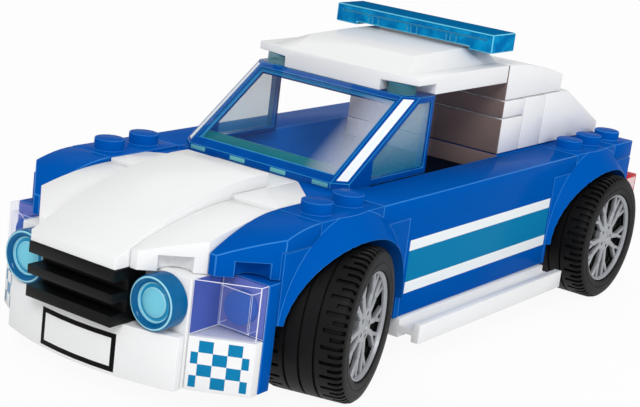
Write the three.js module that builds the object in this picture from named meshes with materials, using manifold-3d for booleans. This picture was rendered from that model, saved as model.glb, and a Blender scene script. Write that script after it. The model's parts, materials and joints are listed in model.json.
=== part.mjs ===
// Building block car: a six stud wide patrol car with steered front wheels.
// Millimetres, +Z up, front towards -Y, the car's left side towards +X.
// The origin is on the ground in the middle of the overall box.

import * as THREE from 'three';
import { mergeVertices } from 'three/addons/utils/BufferGeometryUtils.js';
import { ConvexGeometry } from 'three/addons/geometries/ConvexGeometry.js';
import Module from 'manifold-3d';

const wasm = await Module();
wasm.setup();

// Block grid
const PITCH = 8;
const PLATE = 3.2;
const STUD_RADIUS = 2.4;
const STUD_HEIGHT = 1.7;
const STUD_PLAY = 0.1;
const WALL = 1.5;
const PLAY = 0.3;
const BITE = 0.5;

// Wheels and steering
const WHEELBASE = 10 * PITCH;
const TYRE_RADIUS = 11.6;
const TYRE_WIDTH = 13;
const TYRE_FACE_X = 29.4;
const TYRE_SEAT = 8.45;
const TYRE_SHOULDER = 1.2;
const RIM_WALL = 0.7;
const RIM_LIP = 0.6;
const SPOKES = 5;
const HUB_RADIUS = 2.9;
const HUB_RECESS = 0.7;
const HUB_INNER = 2.3;
const HUB_CAP = 0.8;
const SEAT_GAP = 0.25;
const LIP_WIDTH = 0.9;
const LIP_INSET = 0.2;
const SPOKE_WIDTH = 0.85;
const SPOKE_DEPTH = 1.3;
const PIN_RADIUS = 1.6;
const PIN_PLAY = 0.05;
const STEER_REST = THREE.MathUtils.degToRad(15);
const KING_RADIUS = 0.8;
const KING_INSET = 0.8;
const EYE_RADIUS = 1.7;
const EYE_HALF = 1.5;
const FORK_PLATE = 1.75;
const FORK_WALL = 0.9;

// Body levels and lengths
const CHASSIS_Z = 4.8;
const ROOF_GAP = 4 * PLATE;
const HOOD_DEPTH = 4;
const HOOD_RISE = 2.2;
const HOOD_LIP_HEIGHT = 1.7;
const HOOD_LIP_SLOPE = 1;
const HOOD_LIP_DEPTH = 2.8;
const HOOD_FLAT = 4;
const HOOD_CREST = 0.6;
const FLANK_NOSE = 1.2;
const FLANK_DROP = 0.6;
const FLANK_NOTCH = 2.3;
const BLUE_FLANK_SETBACK = 6.7;
const BLUE_FLANK_DROP = 4.1;
const CORNER_DEEP = 6.6;
const CORNER_THIN = 1.7;
const GRILLE_EDGE = 0.9;
const GRILLE_SLOT = 1.5;
const GRILLE_RECESS = 3;
const BUMPER_BOW = 3;
const BUMPER_THIN = 1.4;
const SCREEN_LIP = 1;
const SCREEN_SILL_DEPTH = 4.5;
const SCREEN_CHAMFER = 2.1;
const ROOF_SETBACK = 1.2;
const ROOF_TAPER = 1.5;
const ROOF_NOTCH = 6.5;
const HUMP_INSET = 5.8;
const HUMP_FOOT_INSET = 2.6;
const HUMP_NOSE_INSET = 7.4;
const HUMP_RUN = 8.2;
const HUMP_CREST = 0.4;
const BAR_OVERHANG = 0.4;
const BAR_SHORT = 0.2;
const BOW_DROP = 4;
const BOW_CORNER = 2.5;
const SLOPE_LIP = 2;
const SLOPE_LEDGE = 0.8;
const LAMP_RIM = 1;
const LENS_WALL = 1.2;
const LENS_RECESS = 0.9;
const NOSE_DEPTH = 3 * PLATE;
const BRACKET_DEPTH = 2.6;
const TAIL_DEPTH = 4.8;
const BUMPER_DEPTH = 3.6;
const ARCH_LEG = 0.8;
const ARCH_ROOM = 4.4;
const ARCH_COVER = 0.8;
const ARCH_OVER = 0.9;
const FLARE_OUT = 3.8;
const SILL_OUT = 4.3;
const SILL_LIP = 1.4;
const GLASS = 1.6;
const LIGHT_BAR_HEIGHT = 3.2;
const HUMP_HEIGHT = 2.4;

// Derived lengths
const HALF = 3 * PITCH;
const CABIN = 2 * PITCH;
const AXLE_Y = WHEELBASE / 2;
const AXLE_Z = TYRE_RADIUS;
const WHEEL_X = TYRE_FACE_X - TYRE_WIDTH / 2;
const BODY_Z = CHASSIS_Z + PLATE;
const SHOULDER_Z = AXLE_Z + TYRE_RADIUS + ARCH_COVER;
const DECK_Z = SHOULDER_Z + PLATE;
const ROOF_Z = DECK_Z + ROOF_GAP;
const ROOF_TOP = ROOF_Z + PLATE;
const HUMP_TOP = ROOF_TOP + HUMP_HEIGHT;
const NOSE_TOP = SHOULDER_Z - HOOD_DEPTH;
const NOSE_MID = NOSE_TOP - PITCH;
const NOSE_BOTTOM = NOSE_TOP - 2 * PITCH;
const FENDER_HALF = TYRE_RADIUS + ARCH_ROOM;
const FENDER_END = AXLE_Y + FENDER_HALF;
const DOOR_END = AXLE_Y - FENDER_HALF;
const NOSE_FACE = -FENDER_END - NOSE_DEPTH;
const HOOD_FRONT = -FENDER_END - 2 * PITCH;
const HOOD_BACK = -AXLE_Y + BITE;
const CORNER_BACK = -FENDER_END - BRACKET_DEPTH;
const TAIL_Y = FENDER_END + TAIL_DEPTH;
const SHIFT_Y = -(HOOD_FRONT + TAIL_Y) / 2;
const KING_X = WHEEL_X - KING_INSET;
const KING_Y = -AXLE_Y - (TYRE_WIDTH / 2 + KING_INSET) * Math.sin(STEER_REST);
const BAY_HALF = 1.5 * PITCH - PLAY;
const CORE_X = 1.25 * PITCH;

// Colours
function finish(color, roughness, metalness = 0, opacity = 1) {
  return new THREE.MeshStandardMaterial({ color, roughness, metalness, opacity, transparent: opacity < 1 });
}
const BLUE = finish(0x005eb8, 0.25);
const WHITE = finish(0xf0f0f0, 0.25);
const BLACK = finish(0x1e1e1e, 0.3);
const DARK_GREY = finish(0x55585c, 0.35);
const SILVER = finish(0xa5a8ac, 0.35, 0.2);
const RUBBER = finish(0x28282a, 0.7);
const CLEAR = finish(0xe8eef4, 0.08, 0, 0.45);
const CLEAR_BLUE = finish(0x1e96c8, 0.08, 0, 0.7);
const GLASS_BLUE = finish(0x2c6fae, 0.08, 0, 0.55);
const CLEAR_RED = finish(0xc01822, 0.1, 0, 0.8);

// Closed solids
function solid(source) {
  const geometry = source.clone();
  for (const name of Object.keys(geometry.attributes)) {
    if (name !== 'position') geometry.deleteAttribute(name);
  }
  const merged = mergeVertices(geometry, 1e-5);
  return new wasm.Manifold(new wasm.Mesh({
    numProp: 3,
    vertProperties: new Float32Array(merged.attributes.position.array),
    triVerts: new Uint32Array(merged.index.array),
  }));
}

function geometryOf(body) {
  const mesh = body.getMesh();
  const geometry = new THREE.BufferGeometry();
  geometry.setAttribute('position', new THREE.BufferAttribute(new Float32Array(mesh.vertProperties), 3));
  geometry.setIndex(new THREE.BufferAttribute(new Uint32Array(mesh.triVerts), 1));
  const flat = geometry.toNonIndexed();
  flat.computeVertexNormals();
  return flat;
}

function join(first, ...others) {
  return others.reduce((sum, other) => sum.add(other), first);
}

function cut(first, ...others) {
  return others.reduce((rest, other) => rest.subtract(other), first);
}

function box(x0, x1, y0, y1, z0, z1) {
  const geometry = new THREE.BoxGeometry(x1 - x0, y1 - y0, z1 - z0);
  geometry.translate((x0 + x1) / 2, (y0 + y1) / 2, (z0 + z1) / 2);
  return solid(geometry);
}

// An outline swept along one axis: (y, z) along X, (x, z) along Y or (x, y) along Z.
function prism(axis, outline, from, to) {
  const shape = outline instanceof THREE.Shape ? outline : new THREE.Shape(outline.map(([a, b]) => new THREE.Vector2(a, b)));
  const geometry = new THREE.ExtrudeGeometry(shape, { depth: to - from, bevelEnabled: false, curveSegments: 10 });
  const turn = new THREE.Matrix4();
  if (axis === 'x') {
    turn.makeBasis(new THREE.Vector3(0, 1, 0), new THREE.Vector3(0, 0, 1), new THREE.Vector3(1, 0, 0));
    geometry.translate(0, 0, from);
  } else if (axis === 'y') {
    turn.makeBasis(new THREE.Vector3(1, 0, 0), new THREE.Vector3(0, 0, 1), new THREE.Vector3(0, -1, 0));
    geometry.translate(0, 0, -to);
  } else {
    geometry.translate(0, 0, from);
  }
  geometry.applyMatrix4(turn);
  return solid(geometry);
}

// A round bar or cone between two points on one axis.
function bar(axis, centre, radius, from, to, endRadius = radius, segments = 20) {
  const geometry = new THREE.CylinderGeometry(endRadius, radius, to - from, segments);
  geometry.translate(0, (from + to) / 2, 0);
  if (axis === 'x') geometry.rotateZ(-Math.PI / 2);
  if (axis === 'z') geometry.rotateX(Math.PI / 2);
  geometry.translate(...centre);
  return solid(geometry);
}

// A ring turned about the local X axis from (x, radius) points.
function turned(profile, segments) {
  const points = profile.map(([x, radius]) => new THREE.Vector2(radius, x));
  points.push(points[0].clone());
  const geometry = new THREE.LatheGeometry(points, segments);
  geometry.rotateZ(-Math.PI / 2);
  const body = solid(geometry);
  return body.volume() < 0 ? solid(flipped(geometry)) : body;
}

function flipped(source) {
  const geometry = source.index ? source.clone() : mergeVertices(source.clone());
  const order = geometry.index.array;
  for (let i = 0; i < order.length; i += 3) {
    [order[i], order[i + 1]] = [order[i + 1], order[i]];
  }
  return geometry;
}

function hull(points) {
  return solid(new ConvexGeometry(points.map((p) => new THREE.Vector3(...p))));
}

function studUp(x, y, z) {
  return bar('z', [x, y, 0], STUD_RADIUS, z - BITE, z + STUD_HEIGHT, STUD_RADIUS, 16);
}

function socketUp(x, y, z) {
  const radius = STUD_RADIUS + STUD_PLAY;
  return bar('z', [x, y, 0], radius, z - BITE, z + STUD_HEIGHT + STUD_PLAY, radius, 16);
}

function studForward(x, y, z) {
  return bar('y', [x, 0, z], STUD_RADIUS, y - STUD_HEIGHT, y + BITE, STUD_RADIUS, 16);
}

function socketForward(x, y, z) {
  const radius = STUD_RADIUS + STUD_PLAY;
  return bar('y', [x, 0, z], radius, y - STUD_HEIGHT - STUD_PLAY, y + BITE, radius, 16);
}

// Assembly
const group = new THREE.Group();
group.name = 'building_block_car';
group.position.y = SHIFT_Y;

function place(name, body, material, parent = group) {
  const mesh = new THREE.Mesh(geometryOf(body), material);
  mesh.name = name;
  parent.add(mesh);
  return mesh;
}

function mirroredX(body) {
  const geometry = mergeVertices(geometryOf(body).deleteAttribute('normal'), 1e-5);
  geometry.scale(-1, 1, 1);
  return solid(flipped(geometry));
}

// The left piece is drawn; the right one is its mirror image.
function placePair(name, body, material) {
  place(`${name}_left`, body, material);
  place(`${name}_right`, mirroredX(body), material);
}

// Chassis
const chassisEdge = [
  [BAY_HALF, -FENDER_END], [BAY_HALF, -DOOR_END], [CABIN, -DOOR_END], [CABIN, DOOR_END],
  [BAY_HALF, DOOR_END], [BAY_HALF, FENDER_END],
];
const chassisOutline = [...chassisEdge, ...chassisEdge.map(([x, y]) => [-x, y]).reverse()];
place('chassis_plate', prism('z', chassisOutline, CHASSIS_Z, BODY_Z), DARK_GREY);

// Front axle block: a fixed beam that ends in an eye at each kingpin
const BEAM_HALF = 0.75 * EYE_RADIUS;
const frontAxle = join(
  box(-CORE_X, CORE_X, -AXLE_Y - PITCH, -AXLE_Y + PITCH, BODY_Z, SHOULDER_Z),
  box(-KING_X, KING_X, KING_Y - BEAM_HALF, KING_Y + BEAM_HALF, AXLE_Z - EYE_HALF, AXLE_Z + EYE_HALF),
  bar('z', [KING_X, KING_Y, 0], EYE_RADIUS, AXLE_Z - EYE_HALF, AXLE_Z + EYE_HALF),
  bar('z', [-KING_X, KING_Y, 0], EYE_RADIUS, AXLE_Z - EYE_HALF, AXLE_Z + EYE_HALF),
);
const eyeHoles = [KING_X, -KING_X].map((x) =>
  bar('z', [x, KING_Y, 0], KING_RADIUS + PIN_PLAY, AXLE_Z - 2 * EYE_HALF, AXLE_Z + 2 * EYE_HALF));
place('front_axle_block', cut(frontAxle, ...eyeHoles), DARK_GREY);

// Rear axle block with a pin for each wheel
const PIN_END = TYRE_WIDTH / 2 - HUB_RECESS - HUB_CAP;
const rearPins = [1, -1].map((side) => {
  const collar = WHEEL_X + HUB_INNER - PLAY;
  const tip = WHEEL_X + PIN_END;
  const spans = [[CORE_X - BITE, collar, HUB_RADIUS - PLAY], [collar - BITE, tip, PIN_RADIUS]];
  return join(...spans.map(([a, b, r]) =>
    bar('x', [0, AXLE_Y, AXLE_Z], r, side > 0 ? a : -b, side > 0 ? b : -a)));
});
place('rear_axle_block', join(
  box(-CORE_X, CORE_X, AXLE_Y - PITCH, AXLE_Y + PITCH, BODY_Z, SHOULDER_Z), ...rearPins), DARK_GREY);

// Steering knuckle, drawn about its kingpin with the wheel outward along +X
const FORK_IN = EYE_HALF + PLAY / 2;
const FORK_OUT = FORK_IN + FORK_PLATE;
const FORK_X = EYE_RADIUS + PLAY;
const knuckleBody = join(
  box(-EYE_RADIUS, FORK_X + FORK_WALL, -EYE_RADIUS, EYE_RADIUS, FORK_IN, FORK_OUT),
  box(-EYE_RADIUS, FORK_X + FORK_WALL, -EYE_RADIUS, EYE_RADIUS, -FORK_OUT, -FORK_IN),
  box(FORK_X, FORK_X + FORK_WALL, -EYE_RADIUS, EYE_RADIUS, -FORK_OUT, FORK_OUT),
  bar('x', [0, 0, 0], PIN_RADIUS, FORK_X + FORK_WALL - BITE, KING_INSET + PIN_END),
);
const kingHole = bar('z', [0, 0, 0], KING_RADIUS + PIN_PLAY, -2 * FORK_OUT, 2 * FORK_OUT);
const knuckle = cut(knuckleBody, kingHole);
const kingpin = bar('z', [0, 0, 0], KING_RADIUS, -FORK_OUT, FORK_OUT);

// Wheel, drawn about its own axle with the outer face towards +X
const FACE = TYRE_WIDTH / 2;
const RIM_OUTER = TYRE_SEAT - SEAT_GAP;
const RIM_INNER = RIM_OUTER - RIM_WALL;
const LIP_RADIUS = TYRE_SEAT + RIM_LIP - SEAT_GAP;
const LIP_X = FACE - LIP_WIDTH;
const LIP_FACE = FACE - LIP_INSET;
const rimRing = turned([
  [-LIP_FACE, RIM_INNER], [-LIP_FACE, LIP_RADIUS], [-LIP_X, LIP_RADIUS], [-LIP_X, RIM_OUTER],
  [LIP_X, RIM_OUTER], [LIP_X, LIP_RADIUS], [LIP_FACE, LIP_RADIUS], [LIP_FACE, RIM_INNER],
], 36);
const HUB_FACE = FACE - HUB_RECESS;
const hub = bar('x', [0, 0, 0], HUB_RADIUS, HUB_INNER, HUB_FACE);
const spokes = [];
for (let i = 0; i < SPOKES; i += 1) {
  for (const side of [-1, 1]) {
    const inner = HUB_RADIUS / 2;
    const outer = RIM_INNER + RIM_WALL / 2;
    const spoke = new THREE.BoxGeometry(SPOKE_DEPTH, SPOKE_WIDTH, outer - inner);
    spoke.translate(HUB_FACE - LIP_INSET - SPOKE_DEPTH / 2, side * SPOKE_WIDTH, (inner + outer) / 2);
    spoke.rotateX(((i + 0.5) * 2 * Math.PI) / SPOKES);
    spokes.push(solid(spoke));
  }
}
const hubBore = bar('x', [0, 0, 0], PIN_RADIUS + PIN_PLAY, HUB_INNER - BITE, PIN_END + STUD_PLAY, PIN_RADIUS + PIN_PLAY, 28);
const rim = cut(join(rimRing, hub, ...spokes), hubBore);

const SEAT_X = LIP_X - SEAT_GAP;
const SEAT_LIP = LIP_RADIUS + SEAT_GAP;
const treadEdge = FACE - TYRE_SHOULDER;
const tyreHalf = [
  [SEAT_X, TYRE_SEAT], [SEAT_X, SEAT_LIP], [LIP_FACE, SEAT_LIP], [FACE, SEAT_LIP + BITE],
  [FACE, TYRE_RADIUS - 0.75 * TYRE_SHOULDER], [treadEdge + 0.6 * TYRE_SHOULDER, TYRE_RADIUS - 0.25 * TYRE_SHOULDER],
  [treadEdge, TYRE_RADIUS],
];
const tyre = turned([...tyreHalf, ...tyreHalf.map(([x, r]) => [-x, r]).reverse()], 36);

for (const [end, side] of [['left', 1], ['right', -1]]) {
  const hand = (body) => (side > 0 ? body : mirroredX(body));
  const steer = new THREE.Group();
  steer.position.set(side * KING_X, KING_Y, AXLE_Z);
  steer.rotation.z = STEER_REST;
  group.add(steer);
  place(`steering_knuckle_${end}`, hand(knuckle), DARK_GREY, steer);
  place(`kingpin_${end}`, kingpin, SILVER, steer);
  const front = new THREE.Group();
  front.position.x = side * KING_INSET;
  steer.add(front);
  place(`rim_front_${end}`, hand(rim), SILVER, front);
  place(`tyre_front_${end}`, tyre, RUBBER, front);
  const rear = new THREE.Group();
  rear.position.set(side * WHEEL_X, AXLE_Y, AXLE_Z);
  group.add(rear);
  place(`rim_rear_${end}`, hand(rim), SILVER, rear);
  place(`tyre_rear_${end}`, tyre, RUBBER, rear);
}

// Sills: a plate with a rail along its outer edge
const SILL_X = HALF + SILL_OUT;
placePair('sill', join(
  box(CABIN, HALF + BITE, -DOOR_END, DOOR_END, CHASSIS_Z, BODY_Z),
  box(HALF, SILL_X - SILL_LIP + BITE, -DOOR_END, DOOR_END, CHASSIS_Z + PLATE / 3, BODY_Z - PLATE / 3),
  box(SILL_X - SILL_LIP, SILL_X, -DOOR_END, DOOR_END, CHASSIS_Z, BODY_Z),
), WHITE);

// Doors
placePair('door', box(CABIN, HALF, -DOOR_END, DOOR_END, BODY_Z, SHOULDER_Z), BLUE);

// Wheel arches: an oval opening under a flared lip
function archOpening(centreY, x0, x1) {
  const a = FENDER_HALF - ARCH_LEG;
  const b = TYRE_RADIUS + ARCH_OVER;
  const outline = [];
  for (let i = 0; i <= 24; i += 1) {
    const angle = (Math.PI * i) / 24;
    outline.push([centreY + a * Math.cos(angle), AXLE_Z + b * Math.sin(angle)]);
  }
  outline.push([centreY - a, -PITCH], [centreY + a, -PITCH]);
  return prism('x', outline, x0, x1);
}

function fender(axleY, openingY) {
  const flareBase = FENDER_HALF;
  const cone = bar('x', [0, axleY, AXLE_Z], flareBase + BITE, HALF - BITE, HALF + FLARE_OUT, flareBase - FLARE_OUT, 48);
  const upper = box(CABIN, HALF + FENDER_HALF, axleY - FENDER_HALF, axleY + FENDER_HALF, AXLE_Z, DECK_Z);
  const inside = join(
    box(CABIN, HALF, axleY - FENDER_HALF, axleY + FENDER_HALF, BODY_Z, SHOULDER_Z),
    box(CABIN, HALF, axleY - PITCH, axleY + PITCH, SHOULDER_Z - BITE, DECK_Z),
  );
  const outside = box(HALF, HALF + FENDER_HALF, axleY - FENDER_HALF, axleY + FENDER_HALF, AXLE_Z, DECK_Z);
  const flare = cone.intersect(upper).intersect(outside);
  const studs = [-0.5, 0.5].map((n) => studUp(HALF - PITCH / 2, axleY + n * PITCH, DECK_Z));
  const body = cut(join(inside, flare), archOpening(openingY, CABIN - PITCH, HALF + FENDER_HALF));
  return join(body, ...studs);
}
const frontLeg = box(CABIN - PITCH, HALF + PITCH, -FENDER_END - PITCH, -AXLE_Y, 0, AXLE_Z + 0.6 * PLATE);
placePair('front_fender', cut(fender(-AXLE_Y, -AXLE_Y - PLAY), frontLeg), BLUE);
placePair('rear_fender', fender(AXLE_Y, AXLE_Y), BLUE);

// Shoulder tiles beside the cabin and the rear corner plates
placePair('shoulder_tile', box(CABIN, HALF, -AXLE_Y + PITCH, AXLE_Y - PITCH, SHOULDER_Z, DECK_Z), BLUE);
placePair('rear_corner_plate', join(
  box(CABIN, HALF, AXLE_Y + PITCH, FENDER_END, SHOULDER_Z, DECK_Z),
  studUp(HALF - PITCH / 2, AXLE_Y + 1.5 * PITCH, DECK_Z),
), BLUE);

// Hood
const HOOD_TOP = DECK_Z + HOOD_RISE;
const FLANK_TOP = DECK_Z - FLANK_DROP;
const SCUTTLE_BACK = -AXLE_Y + PITCH;
const SCUTTLE_FRONT = -AXLE_Y - PITCH;
place('scuttle_plate', box(-PITCH, PITCH, SCUTTLE_FRONT, SCUTTLE_BACK, SHOULDER_Z, DECK_Z), WHITE);
const hoodShape = new THREE.Shape();
const HOOD_LIP = NOSE_TOP + HOOD_LIP_HEIGHT;
hoodShape.moveTo(HOOD_FRONT, NOSE_TOP);
hoodShape.lineTo(SCUTTLE_FRONT, NOSE_TOP);
hoodShape.lineTo(SCUTTLE_FRONT, DECK_Z);
hoodShape.lineTo(HOOD_BACK, DECK_Z);
hoodShape.lineTo(HOOD_BACK, HOOD_TOP);
hoodShape.lineTo(HOOD_BACK - HOOD_FLAT, HOOD_TOP);
const HOOD_BEND = [-AXLE_Y - 2.2 * PITCH, HOOD_TOP - HOOD_CREST];
hoodShape.quadraticCurveTo(...HOOD_BEND, HOOD_FRONT + HOOD_LIP_DEPTH, HOOD_LIP + HOOD_LIP_SLOPE);
hoodShape.lineTo(HOOD_FRONT, HOOD_LIP);
place('hood_panel', prism('x', hoodShape, -PITCH, PITCH), WHITE);

// A sloping hood flank with a 45 degree front corner and stud notches in its lower edge
function flank(x0, x1, front, back, frontTop, backTop, frontWidth) {
  const side = new THREE.Shape();
  side.moveTo(front, NOSE_TOP);
  side.lineTo(-FENDER_END, NOSE_TOP);
  side.lineTo(-FENDER_END, SHOULDER_Z);
  side.lineTo(back, SHOULDER_Z);
  side.lineTo(back, backTop);
  side.quadraticCurveTo(back - 0.45 * (back - front), backTop, front, frontTop);
  const cornerDrop = x1 - x0 - frontWidth;
  const plan = [[x0, front], [x0 + frontWidth, front], [x1, front + cornerDrop], [x1, back], [x0, back]];
  const middle = (x0 + x1 + frontWidth) / 2;
  const notchY = front + cornerDrop / 2;
  const notch = STUD_RADIUS + STUD_PLAY;
  return cut(
    prism('x', side, x0, x1).intersect(prism('z', plan, NOSE_TOP - PITCH, ROOF_Z)),
    bar('z', [middle + PLAY, notchY + PLAY, 0], notch, NOSE_TOP - BITE, NOSE_TOP + FLANK_NOTCH, notch, 16),
  );
}
const FLANK_FRONT = HOOD_FRONT + HOOD_LIP_DEPTH;
placePair('hood_flank_white',
  flank(PITCH, CABIN, FLANK_FRONT, SCUTTLE_FRONT, HOOD_LIP + HOOD_LIP_SLOPE, FLANK_TOP, FLANK_NOSE), WHITE);
placePair('hood_flank_blue',
  flank(CABIN, HALF, FLANK_FRONT + BLUE_FLANK_SETBACK, SCUTTLE_FRONT, DECK_Z - BLUE_FLANK_DROP, DECK_Z, FLANK_NOSE), BLUE);
placePair('hood_side_tile', prism('z', [
  [PITCH, SCUTTLE_FRONT], [CABIN, SCUTTLE_FRONT], [CABIN, SCUTTLE_BACK - PITCH], [PITCH, SCUTTLE_BACK],
], SHOULDER_Z, DECK_Z), WHITE);

// Nose built sideways on forward studs
const NOSE_STUD_Z = NOSE_TOP - PITCH / 2;
place('nose_block', join(
  box(-CABIN, CABIN, NOSE_FACE, -FENDER_END, NOSE_BOTTOM, NOSE_TOP),
  studForward(1.5 * PITCH, NOSE_FACE, NOSE_STUD_Z),
  studForward(-1.5 * PITCH, NOSE_FACE, NOSE_STUD_Z),
), WHITE);

const GRILLE_SLOTS = 2;
const SLOT_PITCH = (NOSE_TOP - NOSE_MID) / (GRILLE_SLOTS + 0.7);
const grilleSlots = [];
for (let i = 0; i < GRILLE_SLOTS; i += 1) {
  const z = NOSE_MID + (i + 0.85) * SLOT_PITCH;
  const wide = PITCH - GRILLE_EDGE;
  const tall = GRILLE_SLOT / 2;
  grilleSlots.push(box(-wide, wide, HOOD_FRONT - BITE, HOOD_FRONT + GRILLE_RECESS, z - tall, z + tall));
}
place('grille', cut(box(-PITCH, PITCH, HOOD_FRONT, NOSE_FACE, NOSE_MID, NOSE_TOP), ...grilleSlots), BLACK);

const LAMP_RADIUS = PITCH / 2 - PIN_PLAY;
const LENS_RADIUS = LAMP_RADIUS - LENS_WALL;
const LENS_FACE = NOSE_FACE - PLATE;
const lampAxis = [1.5 * PITCH, 0, NOSE_STUD_Z];
const headlight = cut(
  bar('y', lampAxis, LAMP_RADIUS, LENS_FACE, NOSE_FACE, LAMP_RADIUS, 28),
  bar('y', lampAxis, LENS_RADIUS, LENS_FACE - BITE, LENS_FACE + LENS_RECESS, LENS_RADIUS, 28),
  socketForward(1.5 * PITCH, NOSE_FACE, NOSE_STUD_Z),
);
placePair('headlight', headlight, CLEAR_BLUE);

const BUMPER_END = NOSE_FACE - BUMPER_THIN;
const bumperShape = new THREE.Shape();
bumperShape.moveTo(-CABIN, NOSE_FACE);
bumperShape.lineTo(-CABIN, BUMPER_END);
bumperShape.quadraticCurveTo(0, BUMPER_END - 2 * BUMPER_BOW, CABIN, BUMPER_END);
bumperShape.lineTo(CABIN, NOSE_FACE);
place('front_bumper', prism('z', bumperShape, NOSE_BOTTOM, NOSE_MID), WHITE);

const CORNER_X = HALF - PITCH / 2;
const cornerStuds = [NOSE_STUD_Z, NOSE_STUD_Z - PITCH];
placePair('corner_bracket', join(
  box(CABIN, HALF, CORNER_BACK, -FENDER_END, NOSE_BOTTOM, NOSE_TOP),
  ...cornerStuds.map((z) => studForward(CORNER_X, CORNER_BACK, z)),
), BLUE);

// One stud slopes turned on their backs: a clear lamp over a checkered tile
function cornerSlope(z0, z1) {
  const plan = [
    [CABIN, CORNER_BACK], [CABIN, CORNER_BACK - CORNER_DEEP], [HALF, CORNER_BACK - CORNER_THIN], [HALF, CORNER_BACK],
  ];
  return cut(prism('z', plan, z0, z1), socketForward(CORNER_X, CORNER_BACK, (z0 + z1) / 2));
}
placePair('corner_lamp', cornerSlope(NOSE_MID, NOSE_TOP), CLEAR);
placePair('checker_tile', cornerSlope(NOSE_BOTTOM, NOSE_MID), WHITE);

// Cabin: the firewall ends in a ledge that carries the windscreen and fills the cut corners of the hood tiles
const FIREWALL_BACK = -DOOR_END;
const SCREEN_FRONT = -4 * PITCH;
const ledgeCorners = [1, -1].map((side) => prism('z', [
  [side * CABIN, SCUTTLE_BACK - PITCH], [side * CABIN, SCUTTLE_BACK + BITE], [side * PITCH, SCUTTLE_BACK + BITE],
  [side * PITCH, SCUTTLE_BACK],
], SHOULDER_Z, DECK_Z - PLAY));
place('firewall', join(
  box(-CABIN, CABIN, FIREWALL_BACK - PITCH / 2, FIREWALL_BACK, BODY_Z, DECK_Z),
  box(-CABIN, CABIN, SCREEN_FRONT, FIREWALL_BACK, SHOULDER_Z, DECK_Z),
  ...ledgeCorners,
), BLUE);

// Windscreen: a raked shell with chamfered pillars and four studs on top
const SCREEN_BASE = DECK_Z + SCREEN_LIP;
const SCREEN_BACK = -PITCH;
const ROOF_END = 2 * PITCH;
const ROOF_FRONT = -ROOF_END + ROOF_SETBACK;
const rake = (ROOF_Z - SCREEN_BASE) / (ROOF_FRONT - SCREEN_FRONT);
const drop = GLASS * Math.hypot(1, rake);
const insideZ = (y) => SCREEN_BASE + (y - SCREEN_FRONT) * rake - drop;
const insideY = (z) => SCREEN_FRONT + (z + drop - SCREEN_BASE) / rake;
const SCREEN_SILL = SCREEN_FRONT + SCREEN_SILL_DEPTH;
const screenCorner = (y, z) => [[CABIN - SCREEN_CHAMFER, y, z], [CABIN, y + SCREEN_CHAMFER, z]];
const screenEdge = [
  ...screenCorner(SCREEN_FRONT, DECK_Z), ...screenCorner(SCREEN_FRONT, SCREEN_BASE), ...screenCorner(ROOF_FRONT, ROOF_Z),
  [CABIN, SCREEN_BACK, DECK_Z], [CABIN, SCREEN_BACK, ROOF_Z],
];
const screenOuter = hull([...screenEdge, ...screenEdge.map(([x, y, z]) => [-x, y, z])]);
const screenInner = prism('x', [
  [SCREEN_SILL, DECK_Z - PLATE], [SCREEN_BACK + PITCH, DECK_Z - PLATE], [SCREEN_BACK + PITCH, ROOF_Z - GLASS],
  [insideY(ROOF_Z - GLASS), ROOF_Z - GLASS], [SCREEN_SILL, insideZ(SCREEN_SILL)],
], -CABIN + WALL, CABIN - WALL);
const screenStuds = [-1.5, -0.5, 0.5, 1.5].map((n) => studUp(n * PITCH, SCREEN_BACK - PITCH / 2, ROOF_Z));
place('windscreen', join(cut(screenOuter, screenInner), ...screenStuds), GLASS_BLUE);

// Roof with a raised middle, tapered and notched at the front corners to show two studs
const HUMP_NOSE = CABIN - HUMP_NOSE_INSET;
const HUMP_FOOT = CABIN - HUMP_FOOT_INSET;
const HUMP_EDGE = CABIN - HUMP_INSET;
const roofPlan = [
  [-CABIN, ROOF_FRONT + ROOF_TAPER], [-CABIN + ROOF_NOTCH, ROOF_FRONT], [CABIN - ROOF_NOTCH, ROOF_FRONT],
  [CABIN, ROOF_FRONT + ROOF_TAPER], [CABIN, ROOF_END], [-CABIN, ROOF_END],
];
const humpPoints = [];
for (const side of [-1, 1]) {
  for (const z of [ROOF_TOP - BITE, ROOF_TOP]) {
    humpPoints.push(
      [side * HUMP_NOSE, ROOF_FRONT, z], [side * HUMP_FOOT, ROOF_FRONT + ROOF_TAPER, z], [side * HUMP_FOOT, ROOF_END, z]);
  }
  humpPoints.push(
    [side * HUMP_EDGE, ROOF_FRONT + HUMP_RUN, HUMP_TOP - HUMP_CREST], [side * HUMP_EDGE, 0.75 * PITCH, HUMP_TOP],
    [side * HUMP_EDGE, ROOF_END, HUMP_TOP],
  );
}
const NOTCH_Z = ROOF_Z + STUD_HEIGHT + STUD_PLAY;
const cornerNotch = [1, -1].map((side) => box(
  side > 0 ? CABIN - ROOF_NOTCH : -CABIN - BITE, side > 0 ? CABIN + BITE : -CABIN + ROOF_NOTCH,
  -ROOF_END - BITE, SCREEN_BACK, ROOF_Z - BITE, NOTCH_Z));
const middleSockets = [-0.5, 0.5].map((n) => socketUp(n * PITCH, SCREEN_BACK - PITCH / 2, ROOF_Z));
place('roof_panel', cut(
  join(prism('z', roofPlan, ROOF_Z, ROOF_TOP), hull(humpPoints)),
  ...cornerNotch, ...middleSockets), WHITE);

const BAR_BACK = ROOF_END + BAR_OVERHANG;
const BAR_FRONT = BAR_BACK - PITCH + BAR_SHORT;
place('light_bar', box(-CABIN, CABIN, BAR_FRONT, BAR_BACK, HUMP_TOP, HUMP_TOP + LIGHT_BAR_HEIGHT), CLEAR_BLUE);

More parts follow.
